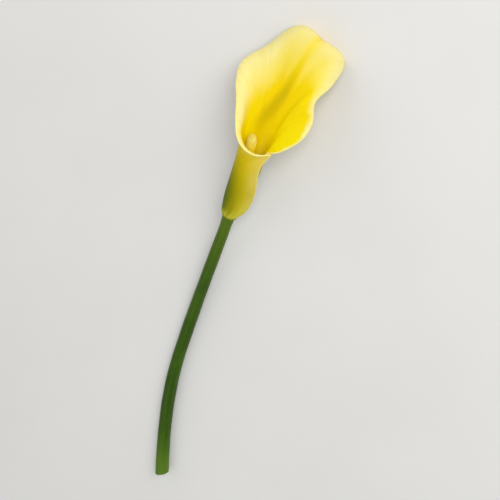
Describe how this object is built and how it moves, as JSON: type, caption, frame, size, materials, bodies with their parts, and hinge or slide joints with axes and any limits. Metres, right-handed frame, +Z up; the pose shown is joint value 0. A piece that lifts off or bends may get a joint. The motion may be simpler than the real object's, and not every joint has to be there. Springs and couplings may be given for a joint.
{
  "type": "arum lily flower",
  "caption": "Cut arum lily flower lying on a surface: rolled spathe with a waved limb and curled point, spadix in its throat, long smooth bowed stem.",
  "frame": {"origin": "on the surface the flower lies on, under the middle of its bounding box", "axes": "+Z up from the surface; +Y along the flower from the cut end of the stem to the limb; +X to the side that the stem bows to"},
  "size_m": [0.0464, 0.2578, 0.0339],
  "materials": {
    "stem_green": "smooth fleshy stem, satin sheen",
    "spathe_yellow": "soft waxy petal, faintly translucent",
    "spadix_gold": "matte, grained with florets"
  },
  "bodies": {
    "root": {"stem": "stem_green", "spathe": "spathe_yellow", "spadix": "spadix_gold"}
  },
  "joints": []
}
